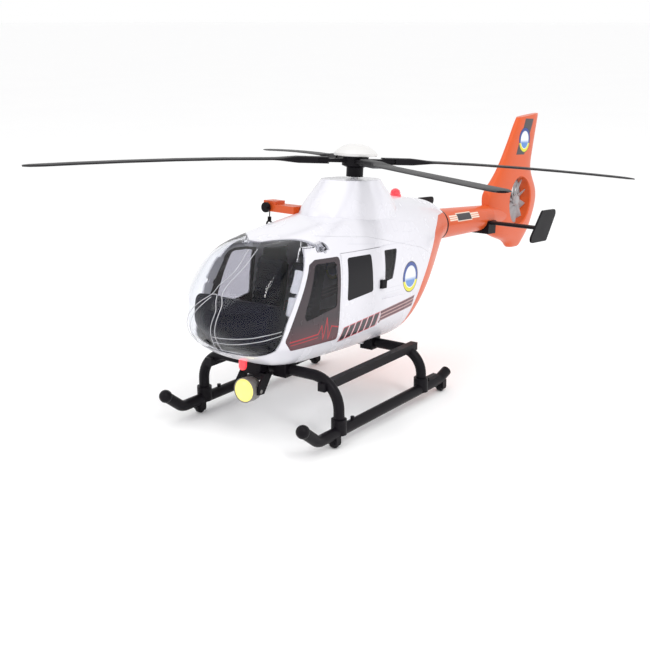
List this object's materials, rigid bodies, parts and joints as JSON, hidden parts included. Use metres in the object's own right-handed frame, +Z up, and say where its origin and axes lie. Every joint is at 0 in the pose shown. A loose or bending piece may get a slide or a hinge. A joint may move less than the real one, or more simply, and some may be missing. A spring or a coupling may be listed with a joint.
{
  "type": "toy_helicopter",
  "caption": "White and orange toy rescue helicopter with a clear opening canopy, sliding doors, ducted tail fan and wheeled skids",
  "frame": {"origin": "middle of the footprint on the ground plane under the wheels", "axes": "+X to port, +Y towards the tail, +Z up"},
  "size_m": [0.4294, 0.5632, 0.2112],
  "materials": {
    "white_plastic": "gloss",
    "orange_plastic": "gloss",
    "dark_plastic": "satin",
    "clear_plastic": "clear, polished",
    "tinted_window": "dark tint, polished",
    "grey_plastic": "satin",
    "pearl_plastic": "pearl",
    "natural_plastic": "satin",
    "red_lens": "translucent",
    "yellow_lens": "translucent",
    "steel": "plated",
    "cell_jacket": "printed sleeve",
    "board_green": "satin"
  },
  "bodies": {
    "airframe": {"fuselage_port": "white_plastic", "fuselage_starboard": "white_plastic", "roof_cowl": "white_plastic", "mast_fairing": "white_plastic", "rear_shell": "orange_plastic", "battery_cover": "white_plastic", "front_door_port": "dark_plastic", "front_door_starboard": "dark_plastic", "side_windows_port": "tinted_window", "side_windows_starboard": "tinted_window", "cabin_tub": "dark_plastic", "pilot_seats": "dark_plastic", "instrument_panel": "dark_plastic", "tail_boom": "orange_plastic", "boom_collar": "dark_plastic", "tail_fin": "orange_plastic", "fan_stator": "grey_plastic", "stabiliser": "dark_plastic", "front_cross_tube": "dark_plastic", "rear_cross_tube": "dark_plastic", "skid_port": "dark_plastic", "skid_starboard": "dark_plastic", "step_rail_port": "dark_plastic", "step_rail_starboard": "dark_plastic", "nose_light": "red_lens", "beacon": "red_lens", "searchlight_mount": "dark_plastic", "winch_arm": "orange_plastic", "motor": "steel", "drive_plate": "dark_plastic", "batteries": "cell_jacket", "circuit_board": "board_green", "screws": "steel"},
    "canopy": {"canopy": "clear_plastic"},
    "door_port": {"sliding_door_port": "white_plastic", "door_window_port": "tinted_window", "door_handle_port": "dark_plastic"},
    "door_starboard": {"sliding_door_starboard": "white_plastic", "door_window_starboard": "tinted_window", "door_handle_starboard": "dark_plastic"},
    "fan": {"tail_fan": "grey_plastic"},
    "lamp_yoke": {"searchlight_yoke": "dark_plastic"},
    "lamp": {"searchlight_lamp": "dark_plastic", "searchlight_lens": "yellow_lens"},
    "drum": {"winch_drum": "dark_plastic"},
    "hook": {"winch_hook": "dark_plastic"},
    "rotor": {"rotor_mast": "steel", "main_gear": "natural_plastic", "rotor_hub": "dark_plastic", "rotor_cap": "pearl_plastic", "rotor_blade_1": "dark_plastic", "rotor_blade_2": "dark_plastic", "rotor_blade_3": "dark_plastic", "rotor_blade_4": "dark_plastic"},
    "pinion": {"motor_pinion": "natural_plastic"},
    "switch": {"power_switch": "dark_plastic"},
    "wheel_fp": {"wheel_front_port": "dark_plastic"},
    "wheel_fs": {"wheel_front_starboard": "dark_plastic"},
    "wheel_rp": {"wheel_rear_port": "dark_plastic"},
    "wheel_rs": {"wheel_rear_starboard": "dark_plastic"}
  },
  "joints": [
    {"name": "main_rotor", "type": "hinge", "parent": "airframe", "child": "rotor", "pos_m": [0, -0.07044, 0.14984], "axis": [0, 0.0795, 0.9968], "continuous": true},
    {"name": "motor_shaft", "type": "hinge", "parent": "airframe", "child": "pinion", "pos_m": [0, -0.09421, 0.15374], "axis": [0, 0.0795, 0.9968], "continuous": true},
    {"name": "fan_spin", "type": "hinge", "parent": "airframe", "child": "fan", "pos_m": [0, 0.23296, 0.12394], "axis": [1, 0, 0], "continuous": true},
    {"name": "canopy_hinge", "type": "hinge", "parent": "airframe", "child": "canopy", "pos_m": [0, -0.16335, 0.1422], "axis": [-1, 0, 0], "range_deg": [0, 45]},
    {"name": "port_door_slide", "type": "slide", "parent": "airframe", "child": "door_port", "axis": [0, 0.9968, -0.0795], "range_m": [0, 0.05]},
    {"name": "starboard_door_slide", "type": "slide", "parent": "airframe", "child": "door_starboard", "axis": [0, 0.9968, -0.0795], "range_m": [0, 0.05]},
    {"name": "searchlight_pan", "type": "hinge", "parent": "airframe", "child": "lamp_yoke", "pos_m": [0, -0.20035, 0.05186], "axis": [0, 0.0795, 0.9968], "range_deg": [-35, 35]},
    {"name": "searchlight_tilt", "type": "hinge", "parent": "lamp_yoke", "child": "lamp", "pos_m": [0, -0.20977, 0.03807], "axis": [1, 0, 0], "range_deg": [-25, 25]},
    {"name": "winch_crank", "type": "hinge", "parent": "airframe", "child": "drum", "pos_m": [-0.0524, -0.11084, 0.15908], "axis": [0, -0.9968, 0.0795], "continuous": true},
    {"name": "hook_swing", "type": "hinge", "parent": "airframe", "child": "hook", "pos_m": [-0.0555, -0.11111, 0.15569], "axis": [1, 0, 0], "range_deg": [-30, 30]},
    {"name": "power_slide", "type": "slide", "parent": "airframe", "child": "switch", "axis": [0, 0.9968, -0.0795], "range_m": [0, 0.004]},
    {"name": "front_port_wheel", "type": "hinge", "parent": "airframe", "child": "wheel_fp", "pos_m": [0.0667, -0.19242, 0.004], "axis": [1, 0, 0], "continuous": true},
    {"name": "front_starboard_wheel", "type": "hinge", "parent": "airframe", "child": "wheel_fs", "pos_m": [-0.0667, -0.19242, 0.004], "axis": [1, 0, 0], "continuous": true},
    {"name": "rear_port_wheel", "type": "hinge", "parent": "airframe", "child": "wheel_rp", "pos_m": [0.0667, -0.03292, 0.004], "axis": [1, 0, 0], "continuous": true},
    {"name": "rear_starboard_wheel", "type": "hinge", "parent": "airframe", "child": "wheel_rs", "pos_m": [-0.0667, -0.03292, 0.004], "axis": [1, 0, 0], "continuous": true}
  ],
  "couplings": [
    {"joint": "motor_shaft", "follows": "main_rotor", "ratio": -4}
  ]
}
